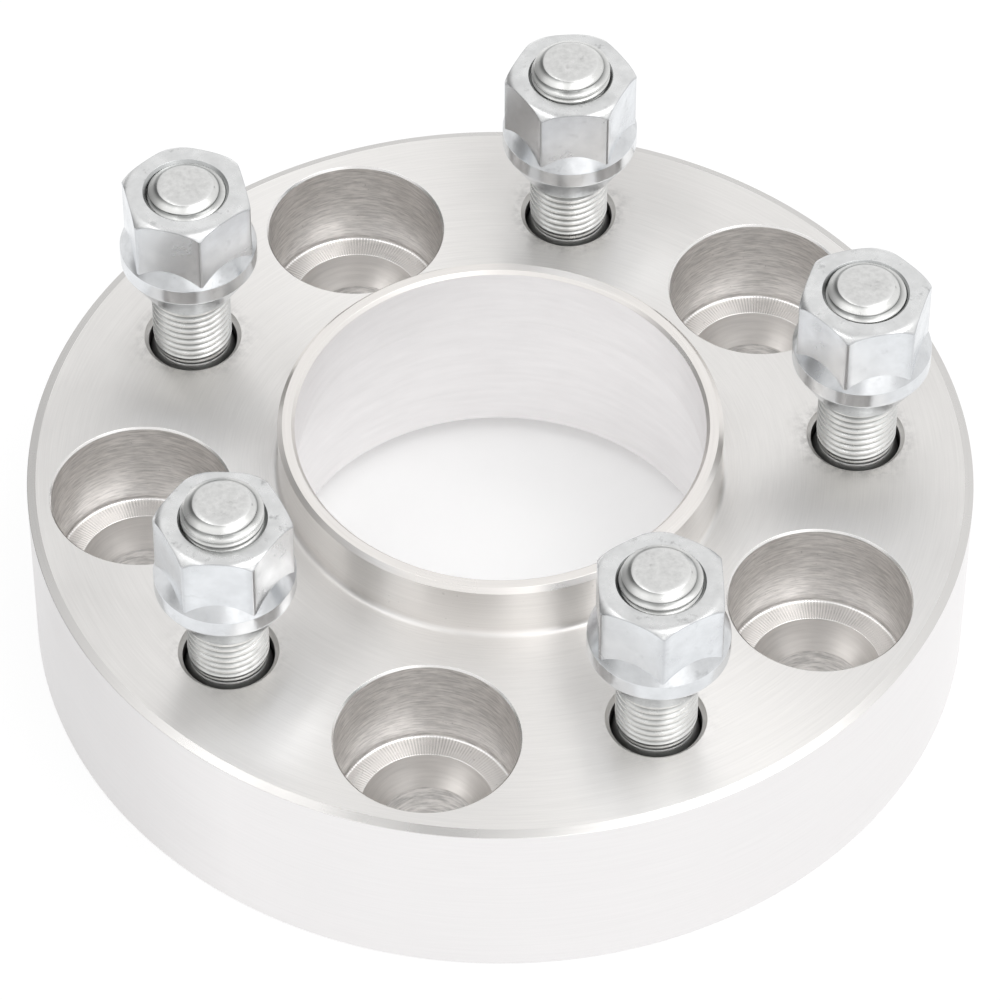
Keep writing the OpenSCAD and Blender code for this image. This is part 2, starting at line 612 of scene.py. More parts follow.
@dataclass(frozen=True)
class Chatter:
    """Ripples round an axis that a cutter leaves on a floor, strongest on one side and broken up by noise.

    tone is the share by which they lighten and darken the metal, turns how many there are in a turn, side
    the bearing in degrees at which they are strongest, and height their height beside that of the tool
    marks.
    """

    tone: float
    turns: float = 168.0
    side: float = 128.0
    height: float = 0.6
    side_span: Pair = (0.1, 0.85)
    side_ends: Pair = (0.25, 1.0)
    patch_ends: Pair = (0.15, 1.0)
    patch_across: float = 0.2

    def ripple(self, sketch: SurfaceSketch, across: Socket, angle: Socket) -> Socket:
        """The ripples, sin(turns * angle), times their strength on each side and in each patch.

        Args:
            sketch: The material that is being built.
            across: Distance across the marks.
            angle: Angle along the marks.

        Returns:
            The ripple, from -1 to 1.
        """
        wave = sketch.math("SINE", sketch.math("MULTIPLY", angle, self.turns))
        spot = sketch.vector(sketch.math("COSINE", angle), sketch.math("SINE", angle),
                             sketch.math("MULTIPLY", across, self.patch_across))
        side = sketch.mapped(sketch.facing(angle, self.side), self.side_span, self.side_ends)
        patch = sketch.mapped(sketch.noise(CHATTER_PATCHES, spot), CHATTER_PATCHES.span, self.patch_ends)
        return sketch.math("MULTIPLY", wave, sketch.math("MULTIPLY", side, patch))


@dataclass(frozen=True)
class CutMetal:
    """A machined metal finish with tool marks and blotches.

    blotch is how far its roughness varies, and pits, painted_shade and stain are the shares by which small
    pits, painted shade on one side (a painted reflection of the ring's own shadow) and the stains on worn
    places darken it. painted_shade_side is that side's bearing in degrees.
    """

    name: str
    colour: Colour
    roughness: float
    anisotropy: float
    marks: ToolMarks
    blotch: float = 0.04
    pits: float = 0.0
    chatter: Optional[Chatter] = None
    painted_shade: float = 0.0
    painted_shade_side: float = 0.0
    painted_shade_span: Pair = (0.8, 1.0)
    stain: float = 0.0

    def material(self) -> Material:
        """Builds the material: its colour times 1 + tone, which swings with the marks, the dirt and the
        painted shade.

        Returns:
            The new material.
        """
        sketch = SurfaceSketch(self.name)
        across, angle = sketch.turn()
        marks = self.marks
        height = lines = marks.lines(sketch, across, angle)
        middle = (NOISE_MIDDLE - marks.spread, NOISE_MIDDLE + marks.spread)
        tone = sketch.mapped(lines, middle, (marks.tone, -marks.tone))
        swing = marks.tone + self.pits + self.painted_shade + self.stain
        if self.chatter:
            ripple = self.chatter.ripple(sketch, across, angle)
            height = sketch.math("ADD", lines, sketch.math("MULTIPLY", ripple, self.chatter.height))
            tone = sketch.math("ADD", tone, sketch.math("MULTIPLY", ripple, self.chatter.tone))
            swing += self.chatter.tone
        for loss in self.losses(sketch, angle):
            tone = sketch.math("SUBTRACT", tone, loss)
        rise = min(swing, 1.0 / max(self.colour) - 1.0)
        dark = tuple(c * (1.0 - swing) for c in self.colour)
        light = tuple(c * (1.0 + rise) for c in self.colour)
        colour = sketch.shade(sketch.mapped(tone, (-swing, rise), (0.0, 1.0)), dark, light)
        blotches = (self.roughness - self.blotch, self.roughness + self.blotch)
        sketch.metal(colour, sketch.mapped(sketch.noise(CLOUDS), CLOUDS.span, blotches))
        sketch.stretch(self.anisotropy)
        sketch.bump(height, marks.depth)
        return sketch.material

    def losses(self, sketch: SurfaceSketch, angle: Socket) -> list[Socket]:
        """What darkens the metal, apart from its tool marks.

        Args:
            sketch: The material that is being built.
            angle: Angle along the marks.

        Returns:
            The share that each of its pits, its painted shade on one side and its stains takes off.
        """
        found = []
        if self.pits > 0.0:
            found.append(sketch.speckled(PITS, self.pits))
        # Painted shade: one side is made darker, standing in for the reflection of the ring's own shadow on
        # the floor
        if self.painted_shade > 0.0:
            side = sketch.facing(angle, self.painted_shade_side)
            found.append(sketch.mapped(side, self.painted_shade_span, (0.0, self.painted_shade)))
        if self.stain > 0.0:
            found.append(sketch.math("MULTIPLY", sketch.speckled(STAINS, self.stain), sketch.wear()))
        return found


@dataclass(frozen=True)
class ZincPlate:
    """Bright zinc plating with a blue cast, mottled tone, smudges, worn edges and painted shade in hollows.

    edge is the colour where the mesh's layer of wear and painted shade is 1: on the worn edges of the nuts
    and the stud's tip, and as painted shade in thread roots, down the stud's neck and in the nut's bore.
    mottle is the share by which the tone varies, scale how fine the mottling is, dirt how dark its smudges
    are, and grain and dent the heights of its small and wide bumps in millimetres. rough_ends is what the
    roughness is multiplied by at the two ends of the mottling.
    """

    name: str
    colour: Colour
    edge: Colour
    roughness: float
    mottle: float = 0.05
    scale: float = 260.0
    dirt: float = 0.0
    grain: float = 0.004
    dent: float = 0.02
    octaves: float = 3.0
    octave_rough: float = 0.6
    rough_ends: Pair = (1.25, 0.8)

    def material(self) -> Material:
        """Builds the material: mottling less smudges between two tones of the colour, and then the wear and
        painted shade.

        Returns:
            The new material.
        """
        sketch = SurfaceSketch(self.name)
        mottling = Speckle(self.scale, self.octaves, self.octave_rough)
        cloud = sketch.noise(mottling)
        tone = sketch.mapped(cloud, mottling.span, (0.0, 1.0))
        smudge = self.dirt / self.mottle
        if self.dirt > 0.0:
            tone = sketch.math("SUBTRACT", tone, sketch.speckled(SMUDGES, smudge))
        dark = tuple(c * (1.0 - self.mottle - 2.0 * self.dirt) for c in self.colour)
        light = tuple(min(1.0, c * (1.0 + self.mottle)) for c in self.colour)
        plain = sketch.shade(sketch.mapped(tone, (-smudge, 1.0), (0.0, 1.0)), dark, light)
        rough_ends = (self.roughness * self.rough_ends[0], self.roughness * self.rough_ends[1])
        sketch.metal(sketch.shade(sketch.wear(), plain, self.edge),
                     sketch.mapped(cloud, mottling.span, rough_ends))
        small = sketch.math("MULTIPLY", cloud, self.grain)
        wide = sketch.math("MULTIPLY", sketch.noise(DENTS), self.dent)
        sketch.bump(sketch.math("ADD", small, wide))
        return sketch.material


ALUMINIUM = (0.872, 0.856, 0.838)
PALE_ALUMINIUM = (0.868, 0.854, 0.854)
RING_FINISHES: dict[RingZone, CutMetal] = {
    RingZone.FACE: CutMetal("turned_face", ALUMINIUM, 0.40, 0.85, ToolMarks(4.0, 6.0, 0.045, 0.002),
                            blotch=0.05, stain=0.30),
    # The rim's painted shade on one side stands in for the reflection of the ring's own shadow on the floor
    RingZone.RIM: CutMetal("brushed_rim", PALE_ALUMINIUM, 0.36, 0.5, ToolMarks(2.6, 5.0, 0.02, 0.002),
                           painted_shade=0.17, painted_shade_side=-149.0),
    RingZone.LIP: CutMetal("turned_lip", (0.875, 0.854, 0.832), 0.40, 0.75,
                           ToolMarks(3.5, 2.0, 0.05, 0.002), pits=0.1),
    RingZone.LIP_TOP: CutMetal("lip_top", (0.885, 0.856, 0.828), 0.30, 0.3,
                               ToolMarks(3.0, 3.0, 0.04, 0.001)),
    RingZone.BORE: CutMetal("turned_bore", (0.932, 0.918, 0.918), 0.36, 0.4,
                            ToolMarks(0.8, 4.0, 0.035, 0.002)),
    RingZone.POCKET: CutMetal("milled_pocket", (0.775, 0.753, 0.734), 0.40, 0.65,
                              ToolMarks(2.8, 5.5, 0.20, 0.014, 0.16), pits=0.2),
    RingZone.POCKET_FLOOR: CutMetal("pocket_floor", (0.87, 0.857, 0.845), 0.27, 0.2,
                                    ToolMarks(2.0, 1.5, 0.04, 0.004), pits=0.2, chatter=Chatter(0.20)),
    RingZone.SEAT: CutMetal("nut_seat", (0.86, 0.842, 0.825), 0.32, 0.5, ToolMarks(1.6, 1.2, 0.08, 0.003)),
    RingZone.DRILLED: CutMetal("drilled_hole", (0.81, 0.79, 0.772), 0.40, 0.2,
                               ToolMarks(1.8, 2.6, 0.28, 0.012, 0.16)),
    # The stud holes' dark colour is painted shade in the narrow gap round each stud
    RingZone.STUD_HOLE: CutMetal("stud_hole", (0.38, 0.371, 0.362), 0.40, 0.2,
                                 ToolMarks(1.8, 2.6, 0.20, 0.008)),
    RingZone.EDGE: CutMetal("edge_break", (0.85, 0.838, 0.825), 0.20, 0.0,
                            ToolMarks(3.0, 3.0, 0.02, 0.001)),
    RingZone.RIM_EDGE: CutMetal("rim_edge", (0.69, 0.678, 0.664), 0.28, 0.0,
                                ToolMarks(3.0, 5.0, 0.03, 0.001)),
}

ZINC = (0.765, 0.785, 0.808)
ZINC_EDGE = (0.48, 0.49, 0.505)
# Painted shade: a dark zinc colour for the thread's roots and for the stud's neck inside its hole
ZINC_PAINTED_SHADE = (0.30, 0.305, 0.30)
STUD_FINISHES: dict[StudZone, ZincPlate] = {
    StudZone.THREAD: ZincPlate("rolled_thread", (0.74, 0.742, 0.73), ZINC_PAINTED_SHADE, 0.30, 0.08, 500.0, 0.03,
                               grain=0.0, dent=0.004),
    StudZone.TIP: ZincPlate("stud_tip", (0.71, 0.71, 0.702), (0.80, 0.802, 0.795), 0.34, 0.10, 1100.0, 0.10,
                            grain=0.025),
    StudZone.SHANK: ZincPlate("stud_shank", (0.78, 0.786, 0.78), ZINC_PAINTED_SHADE, 0.42, 0.08, 500.0),
}
NUT_FINISHES: dict[NutZone, ZincPlate] = {
    NutZone.HEXAGON: ZincPlate("nut_flats", ZINC, ZINC_EDGE, 0.23, 0.07, 220.0, 0.06),
    NutZone.TOP: ZincPlate("nut_top", (0.75, 0.755, 0.755), ZINC_EDGE, 0.28, 0.09, 320.0, 0.16,
                           grain=0.008),
    NutZone.FLANGE: ZincPlate("nut_flange", (0.74, 0.757, 0.777), ZINC_EDGE, 0.20, 0.07, 260.0, 0.06),
    NutZone.FLARE: ZincPlate("nut_flare", (0.66, 0.672, 0.686), ZINC_EDGE, 0.22, 0.10, 260.0, 0.08),
    # The bore's near-black edge colour is painted shade in its thread grooves
    NutZone.INSIDE: ZincPlate("nut_bore", (0.50, 0.51, 0.51), (0.2, 0.2, 0.2), 0.35),
}


@dataclass(frozen=True)
class LugSector:
    """One slice of a ring face, 36 degrees wide, with a round hole on the pitch circle.

    The slice is drawn in its own frame, with the hole's centre on +X. Its border is a list of shares of the
    way from the inner to the outer circle and of angles, so that both faces of the ring use the same list.
    rows are the shares of the way from the border to the hole at which the flat slice has points, and
    halo_start is the share at which a stain round the hole begins.
    """

    half_deg: float = 18.0
    outer_steps: int = 28
    inner_steps: int = 20
    side_steps: int = 20
    rows: tuple[float, ...] = (0.0, 0.012, 0.25, 0.5, 0.72, 0.84, 0.93, 0.988, 1.0)
    halo_start: float = 0.72

    def arc(self, steps: int) -> Floats:
        """Angles (radians) across the slice, in equal steps."""
        return np.linspace(-math.radians(self.half_deg), math.radians(self.half_deg), steps + 1)

    def border(self) -> tuple[Floats, Floats]:
        """The slice's border, anticlockwise and closed.

        Returns:
            The share and the angle (radians) at each of its points.
        """
        outer, inner = self.arc(self.outer_steps)[:-1], self.arc(self.inner_steps)[:0:-1]
        half = math.radians(self.half_deg)
        side = np.linspace(1.0, 0.0, self.side_steps + 1)[:-1]
        share = np.concatenate([np.ones_like(outer), side, np.zeros_like(inner), 1.0 - side, [1.0]])
        angle = np.concatenate([outer, np.full_like(side, half), inner, np.full_like(side, -half), [-half]])
        return share, angle

    def rim_points(self, inner_r: float, outer_r: float, z: float) -> Floats:
        """The border as points: r = inner + share * (outer - inner).

        Args:
            inner_r: Radius of the face's inner circle.
            outer_r: Radius of its outer circle.
            z: Its height.

        Returns:
            The points (n x 3).
        """
        share, angle = self.border()
        r = inner_r + share * (outer_r - inner_r)
        return np.stack([r * np.cos(angle), r * np.sin(angle), np.full_like(r, z)], axis=1)

    def face(self, rim: Floats, hole: Floats) -> Floats:
        """The flat slice between its border and its hole: (1 - t) * border + t * hole."""
        t = np.array(self.rows)[:, None, None]
        return (1.0 - t) * rim + t * hole

    def halo(self) -> Floats:
        """Strength of a stain at each row: the square of a share that grows from 0 at its start to 1."""
        return np.clip((np.array(self.rows) - self.halo_start) / (1.0 - self.halo_start), 0.0, 1.0) ** 2


@dataclass
class Ring:
    """The turned ring: rim, lip, stepped hub bore, lug pockets and stud holes.

    soft is the radius of its worn edges, stub the length of the runs by which a section first overlaps the
    flat faces, mark_shift the step that keeps the tool marks of two passages apart, and stains the strength
    of the stain round each stud hole.
    """

    outer_r: float = 75.2
    edge: float = 1.4
    edge_drop: float = 0.5
    back_edge: float = 0.2
    hub_r: float = 35.25
    bore_lead: float = 4.1
    ledge_z: float = 30.15
    ledge_edge: float = 0.35
    lip_z: float = 41.95
    lip_bore_r: float = 32.5
    lip_chamfer: float = 0.75
    lip_bore_chamfer: float = 0.55
    lip_fillet: float = 1.0
    pocket_r: float = 14.3
    pocket_z: float = 14.85
    pocket_break: float = 0.3
    pocket_corner: float = 0.6
    seat_r: float = 10.5
    seat_angle: float = 60.0
    seat_soft: float = 0.15
    lug_hole_r: float = 7.75
    lug_hole_break: float = 0.5
    stud_hole_r: float = 7.17
    stud_hole_chamfer: float = 0.7
    recess_r: float = 10.2
    recess_z: float = 4.0
    soft: float = 0.10
    stub: float = 4.0
    fine_steps: int = 6
    mark_shift: float = 40.0
    stains: tuple[float, ...] = (0.3, 1.0, 0.9, 0.7, 0.4)
    sector: LugSector = LugSector()

    @staticmethod
    def section(corners: Sequence[Pair], radii: Sequence[float], zones: Sequence[RingZone], stub: float,
                steps: int = 4) -> tuple[Floats, Floats]:
        """A rounded section that starts and ends on the flat faces.

        Both ends are first drawn out along the faces, so that their corners are rounded too, and what lies
        on the faces is then dropped.

        Args:
            corners: Its corners, each (radius, height).
            radii: The arc radius at each corner.
            zones: The zone of each run between two corners.
            stub: Length of the drawn-out ends, below 0 where the faces lie inside the section.
            steps: Intervals in each arc.

        Returns:
            The points (n x 2), and the zone of each of their n - 1 intervals.
        """
        (first_r, first_z), (last_r, last_z) = corners[0], corners[-1]
        points, runs = rounded([(first_r + stub, first_z), *corners, (last_r + stub, last_z)], radii, steps)
        zone_of = np.array([RingZone.FACE, *zones, RingZone.FACE])
        return points[STUB_POINTS:-STUB_POINTS], zone_of[runs][STUB_POINTS:-STUB_POINTS]

    def outer_profile(self) -> tuple[Floats, Floats]:
        """Section of the rim from the hub face up to the wheel face.

        Returns:
            Its points and zones.
        """
        r = self.outer_r
        corners = [(r - self.back_edge, 0.0), (r, self.back_edge), (r, WHEEL_FACE - self.edge_drop),
                   (r - self.edge, WHEEL_FACE)]
        zones = [RingZone.EDGE, RingZone.RIM, RingZone.RIM_EDGE]
        return self.section(corners, [self.soft] * len(corners), zones, -self.stub)

    def inner_profile(self) -> tuple[Floats, Floats]:
        """Section from the wheel face over the lip and down the bore to the hub face.

        Returns:
            Its points and zones.
        """
        q = self.soft
        corners = [(self.hub_r, WHEEL_FACE),
                   (self.hub_r, self.lip_z - self.lip_chamfer),
                   (self.hub_r - self.lip_chamfer, self.lip_z),
                   (self.lip_bore_r + self.lip_bore_chamfer, self.lip_z),
                   (self.lip_bore_r, self.lip_z - self.lip_bore_chamfer),
                   (self.lip_bore_r, self.ledge_z),
                   (self.hub_r, self.ledge_z),
                   (self.hub_r, self.bore_lead),
                   (self.hub_r + self.bore_lead, 0.0)]
        radii = [self.lip_fillet, q, q, q, q, self.ledge_edge, q, q, q]
        zones = [RingZone.LIP, RingZone.LIP_TOP, RingZone.LIP_TOP, RingZone.LIP_TOP, RingZone.BORE,
                 RingZone.EDGE, RingZone.BORE, RingZone.BORE]
        return self.section(corners, radii, zones, self.stub, self.fine_steps)

    def pocket_profile(self) -> tuple[Floats, Floats]:
        """Section of a lug passage from the wheel face down to the hub face.

        Returns:
            Its points and zones.
        """
        q, hole = self.soft, self.lug_hole_r
        seat_h = (self.seat_r - hole) / math.tan(math.radians(self.seat_angle / 2.0))
        corners = [(self.pocket_r + self.pocket_break, WHEEL_FACE),
                   (self.pocket_r, WHEEL_FACE - self.pocket_break),
                   (self.pocket_r, self.pocket_z),
                   (self.seat_r, self.pocket_z),
                   (hole, self.pocket_z - seat_h),
                   (hole, self.lug_hole_break),
                   (hole + self.lug_hole_break, 0.0)]
        radii = [q, q, self.pocket_corner, self.seat_soft, self.seat_soft, q, q]
        zones = [RingZone.EDGE, RingZone.POCKET, RingZone.POCKET_FLOOR, RingZone.SEAT, RingZone.DRILLED,
                 RingZone.EDGE]
        return self.section(corners, radii, zones, self.stub, self.fine_steps)

    def stud_hole_profile(self) -> tuple[Floats, Floats]:
        """Section of a stud hole from the wheel face down through the head's recess.

        Returns:
            Its points and zones.
        """
        corners = [(self.stud_hole_r + self.stud_hole_chamfer, WHEEL_FACE),
                   (self.stud_hole_r, WHEEL_FACE - self.stud_hole_chamfer),
                   (self.stud_hole_r, self.recess_z),
                   (self.recess_r, self.recess_z),
                   (self.recess_r, 0.0)]
        zones = [RingZone.SEAT, RingZone.STUD_HOLE, RingZone.STUD_HOLE, RingZone.STUD_HOLE]
        return self.section(corners, [self.soft] * len(corners), zones, self.stub)

    def build(self, materials: Sequence[Material]) -> bpy.types.Object:
        """Makes the ring from ten slices and lets it stand for its CAD node.

        Args:
            materials: One material for each zone.

        Returns:
            The ring's object.
        """
        skin = Skin("turned_ring")
        passages = (self.pocket_profile(), self.stud_hole_profile())
        for number in range(2 * LUGS):
            stain = self.stains[number // 2] if number % 2 else 0.0
            self.add_slice(skin, number, passages[number % 2], stain)
        piece = skin.build(materials)
        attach(piece, "spacer")
        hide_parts("spacer_body")
        return piece

    def add_slice(self, skin: Skin, number: int, passage: tuple[Floats, Floats], stain: float) -> None:
        """Adds one slice: its part of the rim and the bore, its passage and its two flat faces.

        Args:
            skin: The ring's skin.
            number: The slice, counted from the first pocket.
            passage: Points and zones of the hole through the slice.
            stain: Strength of the stain round the hole's mouth.
        """
        sector = self.sector
        heading = FIRST_POCKET + number * LUG_STEP / 2.0
        base = math.radians(heading)
        (outer, outer_zones), (inner, inner_zones) = self.outer_profile(), self.inner_profile()
        skin.add_turned(outer, sector.arc(sector.outer_steps) + base, outer_zones)
        skin.add_turned(inner, sector.arc(sector.inner_steps) + base, inner_zones)
        top_rim = sector.rim_points(inner[0, 0], outer[-1, 0], WHEEL_FACE)
        hub_rim = sector.rim_points(inner[-1, 0], outer[0, 0], 0.0)
        bearings = np.unwrap(np.arctan2(top_rim[:, 1], top_rim[:, 0] - PITCH_R))
        profile, zones = passage
        walls = revolve(profile, bearings, (PITCH_R, 0.0))
        along = run_length(profile) + self.mark_shift * (number + 1)
        skin.add(spun(walls, heading), turn_uv(along, bearings + base), zones)
        top = sector.face(top_rim, walls[0])
        bottom = sector.face(hub_rim, walls[-1])[::-1]
        for flat, worn in ((top, sector.halo() * stain), (bottom, None)):
            x, y = flat[..., 0], flat[..., 1]
            uv = np.stack([np.hypot(x, y), (np.arctan2(y, x) + base) / FULL_TURN], axis=-1)
            skin.add(spun(flat, heading), uv, RingZone.FACE, worn)


@dataclass(frozen=True)
class ThreadForm:
    """A rolled 60 degree thread, as a radius over the phase of its turn.

    crest_share and root_share are the flats' parts of a pitch, row_gap the distance of the rows on both
    sides of a flat's edge, and ease the part of a flank over which it bends away from the crest.
    """

    pitch: float = 1.27
    crest_share: float = 0.33
    root_share: float = 0.125
    depth: float = 0.6
    row_gap: float = 0.025
    ease: float = 0.06

    def flank(self) -> Pair:
        """Phases at which a flank starts and ends, from a crest's middle."""
        return self.crest_share / 2.0, 0.5 - self.root_share / 2.0

    def phases(self) -> Floats:
        """Phases within one pitch at which the surface has a row of points.

        Returns:
            The phases, from a crest's middle.
        """
        (crest, root), gap = self.flank(), self.row_gap
        half = np.array([0.0, crest - gap, crest + gap, (crest + root) / 2.0, root - gap, root + gap, 0.5])
        return np.concatenate([half, 1.0 - half[1:-1][::-1]])

    def sink(self, phase: Floats) -> Floats:
        """Depth below the crest, as a share of the thread's depth: flat, flank, flat.

        Args:
            phase: Any phases.

        Returns:
            The share at each of them.
        """
        crest, root = self.flank()
        from_crest = np.abs((phase + 0.5) % 1.0 - 0.5)
        down = (from_crest - crest) / (root - crest)
        bend = self.ease / 2.0 * np.clip(down / self.ease, 0.0, 1.0) ** 2
        return np.clip(np.where(down < self.ease, bend, down), 0.0, 1.0)

    def rows(self, low: float, high: float, bearings: Floats) -> tuple[Floats, Floats]:
        """A right-hand helical grid, z = pitch * (phase + angle / turn), held between two ends.

        Args:
            low: The lower end.
            high: The upper end.
            bearings: The angles of the columns, in radians.

        Returns:
            Heights, rows by columns, and the phase at each of them.
        """
        turns = bearings / FULL_TURN
        first = math.floor(low / self.pitch - turns.max()) - 1
        last = math.ceil(high / self.pitch - turns.min()) + 1
        phase = (np.arange(first, last)[:, None] + self.phases()).ravel()
        z = np.clip((phase[:, None] + turns) * self.pitch, low, high)
        return z, z / self.pitch - turns


@dataclass
class WheelStud:
    """One press-in stud: head, knurl, shank, rolled thread and worn tip.

    tip_rows are the shares of the tip's radius at which it has points, tip_thread the share of the thread's
    depth that is left on its cone, and the powers shape the neck's flare, the painted shade in the thread's
    roots, the tip's dome and the wear.
    """

    number: int
    head_r: float = 9.8
    head_z: float = 0.4
    head_break: float = 0.5
    head_soft: float = 0.15
    shoulder_z: float = 4.0
    shoulder_soft: float = 0.1
    knurl_r: float = 7.15
    knurl_z: float = 13.5
    knurl_start: float = 0.3
    knurl_depth: float = 0.28
    shank_r: float = 6.1
    flare_r: float = 6.85
    flare_power: float = 1.3
    rings: int = 8
    ring_gap: float = 0.28
    ring_depth: float = 0.08
    thread_r: float = 6.35
    thread_z: float = 31.6
    runout: float = 1.6
    root_shade_power: float = 1.5
    tip_z: float = 66.55
    tip_r: float = 4.5
    tip_runout: float = 0.9
    tip_thread: float = 0.15
    tip_rows: tuple[float, ...] = (1.0, 0.97, 0.93, 0.88, 0.82, 0.72, 0.5, 0.25, 0.0)
    tip_wear_power: float = 3.0
    cone_h: float = 1.6
    dome: float = 0.30
    dome_power: float = 7.0
    columns: int = 72

    def build(self, form: ThreadForm, materials: Sequence[Material]) -> bpy.types.Object:
        """Makes the stud and lets it stand for its CAD node.

        Args:
            form: The thread's form.
            materials: One material for each zone.

        Returns:
            The stud's object.
        """
        skin = Skin(f"threaded_stud_{self.number}")
        centre = stud_axis(self.number)
        bearings = np.linspace(0.0, FULL_TURN, self.columns + 1)
        self.add_base(skin, bearings, centre)
        self.add_thread(skin, form, bearings, centre)
        self.add_tip(skin, bearings, centre)
        piece = skin.build(materials)
        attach(piece, "spacer")
        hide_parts(f"wheel_stud_{self.number}")
        return piece

    def add_base(self, skin: Skin, bearings: Floats, centre: Pair) -> None:
        """Adds the head, the knurl with a tooth on every second column, and the shank with its flared neck.

        The neck's radius is shank + (flare - shank) * share ** power, where the share of its height runs
        from 1 at its foot to 0 at the thread, and every second row sinks into a fine ring. The same share
        also paints shade on the neck, darkest at its foot inside the stud hole.

        Args:
            skin: The stud's skin.
            bearings: Angles of the columns.
            centre: Where the stud's axis stands.
        """
        head = [(0.0, self.head_z), (self.head_r - self.head_break, self.head_z),
                (self.head_r, self.head_z + self.head_break), (self.head_r, self.shoulder_z),
                (self.knurl_r, self.shoulder_z)]
        profile, _ = rounded(head, [self.head_soft, self.head_soft, self.shoulder_soft])
        skin.add_turned(profile, bearings, StudZone.SHANK, centre)
        rise = self.knurl_r - self.shank_r
        knurl = np.array([(self.knurl_r, self.shoulder_z),
                          (self.knurl_r, self.shoulder_z + self.knurl_start),
                          (self.knurl_r, self.knurl_z - rise), (self.shank_r, self.knurl_z),
                          (self.shank_r, self.knurl_z + GUARD)])
        steps = np.arange(self.rings + 1)
        left = self.rings - steps
        share = left / self.rings
        flare = (self.flare_r - self.shank_r) * share ** self.flare_power
        neck = np.stack([self.shank_r + flare - steps % 2 * self.ring_depth,
                         self.thread_z - left * self.ring_gap], axis=1)
        profile = np.concatenate([knurl, neck])
        grid = revolve(profile, bearings, centre)
        teeth = np.arange(len(bearings)) % 2 * self.knurl_depth
        toothed = slice(1, 3)
        grid[toothed, :, 0] -= teeth * np.cos(bearings)
        grid[toothed, :, 1] -= teeth * np.sin(bearings)
        # Painted shade: the neck grows darker towards its foot, inside the stud hole
        worn = np.concatenate([np.zeros(len(knurl)), share])
        skin.add(grid, turn_uv(run_length(profile), bearings), StudZone.SHANK, worn)

    def add_thread(self, skin: Skin, form: ThreadForm, bearings: Floats, centre: Pair) -> None:
        """Adds the thread: radius = min(crest, cone) - depth * sink(phase), faded out at both of its ends,
        with painted shade in its roots.

        Args:
            skin: The stud's skin.
            form: The thread's form.
            bearings: Angles of the columns.
            centre: Where the stud's axis stands.
        """
        low, high = self.thread_z, self.tip_z - self.dome
        z, phase = form.rows(low, high, bearings)
        sink = form.sink(phase)
        fade = np.clip((z - low) / self.runout, 0.0, 1.0)
        crest = self.shank_r + (self.thread_r - self.shank_r) * fade
        cone = self.tip_r + (high - z) * (self.thread_r - self.tip_r) / (self.cone_h - self.dome)
        crest = np.minimum(crest, cone)
        full = np.clip((crest - self.tip_r) / (self.shank_r - self.tip_r), 0.0, 1.0)
        on_cone = self.tip_thread + (1.0 - self.tip_thread) * full ** 2
        tip_fade = np.clip((high - z) / self.tip_runout, 0.0, 1.0) ** 2 * on_cone
        r = crest - form.depth * sink ** (2.0 - full) * fade * tip_fade
        # Painted shade in the thread's roots, darkest where the thread sinks deepest
        root_shade = sink ** self.root_shade_power * fade
        skin.add(around(r, z, bearings, centre), turn_uv(z, bearings), StudZone.THREAD, root_shade)

    def add_tip(self, skin: Skin, bearings: Floats, centre: Pair) -> None:
        """Adds the worn end: z = top - dome * (r / tip radius) ** power, flat inside and round at its rim.

        Args:
            skin: The stud's skin.
            bearings: Angles of the columns.
            centre: Where the stud's axis stands.
        """
        share = np.array(self.tip_rows)
        profile = np.stack([self.tip_r * share, self.tip_z - self.dome * share ** self.dome_power], axis=1)
        worn = np.linspace(1.0, 0.0, len(share)) ** self.tip_wear_power
        skin.add_turned(profile, bearings, StudZone.TIP, centre, worn)


